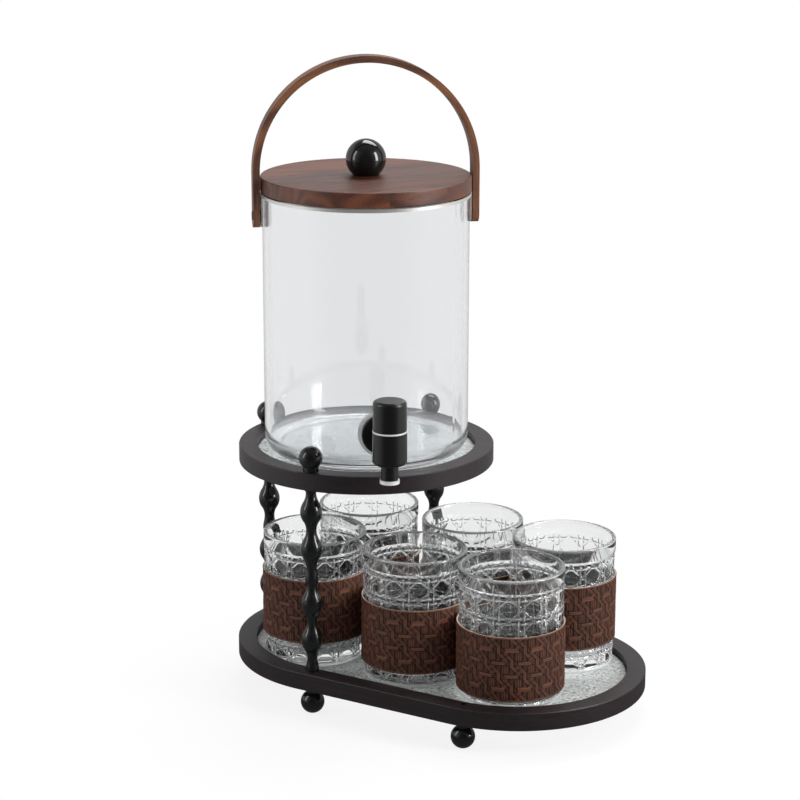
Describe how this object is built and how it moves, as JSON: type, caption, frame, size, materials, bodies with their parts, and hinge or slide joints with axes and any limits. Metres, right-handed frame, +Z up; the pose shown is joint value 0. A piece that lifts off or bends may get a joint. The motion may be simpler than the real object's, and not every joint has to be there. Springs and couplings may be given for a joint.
{
  "type": "cocktail dispenser",
  "caption": "Glass drinks jar with tap, wooden lid and bent-wood handle on a two-tier stand, with sleeved tumblers on the tray below.",
  "frame": {"origin": "on the floor, under the middle of the long tray", "axes": "+Z up, +X along the tray from the jar towards the tumblers, -Y towards the side where the tap points"},
  "size_m": [0.3386, 0.2074, 0.4967],
  "materials": {
    "stained_wood": "dark stained, satin",
    "walnut": "oiled walnut",
    "black_lacquer": "turned and gloss black lacquered",
    "black_plastic": "satin black",
    "bright_metal": "polished",
    "steel": "plain steel",
    "clear_glass": "clear blown glass",
    "pressed_glass": "pressed relief glass",
    "hammered_glass": "hammered glass",
    "leather": "embossed brown leather",
    "silicone": "translucent silicone"
  },
  "bodies": {
    "stand": {"tray_rail_front": "stained_wood", "tray_rail_back": "stained_wood", "tray_rail_right_front": "stained_wood", "tray_rail_right_back": "stained_wood", "tray_rail_left_front": "stained_wood", "tray_rail_left": "stained_wood", "tray_rail_left_back": "stained_wood", "upper_ring_frame": "stained_wood", "lower_tray_glass": "hammered_glass", "upper_ring_glass": "hammered_glass", "foot_studs": "steel", "left_post_bolt": "steel", "post_studs": "steel", "lower_post_front": "black_lacquer", "upper_post_front": "black_lacquer", "finial_front": "black_lacquer", "lower_post_left": "black_lacquer", "upper_post_left": "black_lacquer", "finial_left": "black_lacquer", "lower_post_back": "black_lacquer", "upper_post_back": "black_lacquer", "finial_back": "black_lacquer", "foot_front_left": "black_lacquer", "foot_back_left": "black_lacquer", "foot_front_right": "black_lacquer", "foot_back_right": "black_lacquer"},
    "jar": {"jar_glass": "clear_glass", "handle_hoop": "steel", "handle_washers": "black_plastic", "handle_pivot_screws": "steel", "tap_outer_gasket": "silicone", "tap_inner_gasket": "silicone", "tap_lock_nut": "black_plastic", "tap_flange": "black_plastic", "tap_shank": "black_plastic", "tap_body": "black_plastic", "tap_outlet_ring": "bright_metal", "tap_collar_ring": "bright_metal"},
    "handle": {"handle_bow": "walnut"},
    "lid": {"lid_disc": "walnut", "lid_spigot": "walnut", "lid_seal": "silicone", "lid_knob": "black_lacquer", "lid_knob_screw": "steel"},
    "tap_knob": {"tap_knob": "black_plastic", "tap_knob_screw": "steel", "tap_valve_core": "black_plastic", "tap_o_rings": "silicone"},
    "tumbler_1": {"tumbler_1": "pressed_glass"},
    "sleeve_1": {"sleeve_1": "leather"},
    "tumbler_2": {"tumbler_2": "pressed_glass"},
    "sleeve_2": {"sleeve_2": "leather"},
    "tumbler_3": {"tumbler_3": "pressed_glass"},
    "sleeve_3": {"sleeve_3": "leather"},
    "tumbler_4": {"tumbler_4": "pressed_glass"},
    "sleeve_4": {"sleeve_4": "leather"},
    "tumbler_5": {"tumbler_5": "pressed_glass"},
    "sleeve_5": {"sleeve_5": "leather"},
    "tumbler_6": {"tumbler_6": "pressed_glass"},
    "sleeve_6": {"sleeve_6": "leather"}
  },
  "joints": [
    {"name": "jar_lift", "type": "slide", "parent": "stand", "child": "jar", "axis": [0, 0, 1], "range_m": [0, 0.08]},
    {"name": "lid_lift", "type": "slide", "parent": "jar", "child": "lid", "axis": [0, 0, 1], "range_m": [0, 0.012]},
    {"name": "handle_swing", "type": "hinge", "parent": "jar", "child": "handle", "pos_m": [-0.0667, 0, 0.376], "axis": [0.766, 0.6428, 0], "range_deg": [-130, 130]},
    {"name": "tap_turn", "type": "hinge", "parent": "jar", "child": "tap_knob", "pos_m": [0.01043, -0.09193, 0.2225], "axis": [0, 0, 1], "range_deg": [0, 90]},
    {"name": "tumbler_1_lift", "type": "slide", "parent": "stand", "child": "tumbler_1", "axis": [0, 0, 1], "range_m": [0, 0.045]},
    {"name": "sleeve_1_slide", "type": "slide", "parent": "tumbler_1", "child": "sleeve_1", "axis": [0, 0, 1], "range_m": [-0.0146, 0.0194]},
    {"name": "tumbler_2_lift", "type": "slide", "parent": "stand", "child": "tumbler_2", "axis": [0, 0, 1], "range_m": [0, 0.045]},
    {"name": "sleeve_2_slide", "type": "slide", "parent": "tumbler_2", "child": "sleeve_2", "axis": [0, 0, 1], "range_m": [-0.0075, 0.0265]},
    {"name": "tumbler_3_lift", "type": "slide", "parent": "stand", "child": "tumbler_3", "axis": [0, 0, 1], "range_m": [0, 0.045]},
    {"name": "sleeve_3_slide", "type": "slide", "parent": "tumbler_3", "child": "sleeve_3", "axis": [0, 0, 1], "range_m": [-0.0114, 0.0271]},
    {"name": "tumbler_4_lift", "type": "slide", "parent": "stand", "child": "tumbler_4", "axis": [0, 0, 1], "range_m": [0, 0.045]},
    {"name": "sleeve_4_slide", "type": "slide", "parent": "tumbler_4", "child": "sleeve_4", "axis": [0, 0, 1], "range_m": [-0.0065, 0.0275]},
    {"name": "tumbler_5_lift", "type": "slide", "parent": "stand", "child": "tumbler_5", "axis": [0, 0, 1], "range_m": [0, 0.12]},
    {"name": "sleeve_5_slide", "type": "slide", "parent": "tumbler_5", "child": "sleeve_5", "axis": [0, 0, 1], "range_m": [-0.0057, 0.0328]},
    {"name": "tumbler_6_lift", "type": "slide", "parent": "stand", "child": "tumbler_6", "axis": [0, 0, 1], "range_m": [0, 0.12]},
    {"name": "sleeve_6_slide", "type": "slide", "parent": "tumbler_6", "child": "sleeve_6", "axis": [0, 0, 1], "range_m": [-0.0149, 0.0191]}
  ]
}
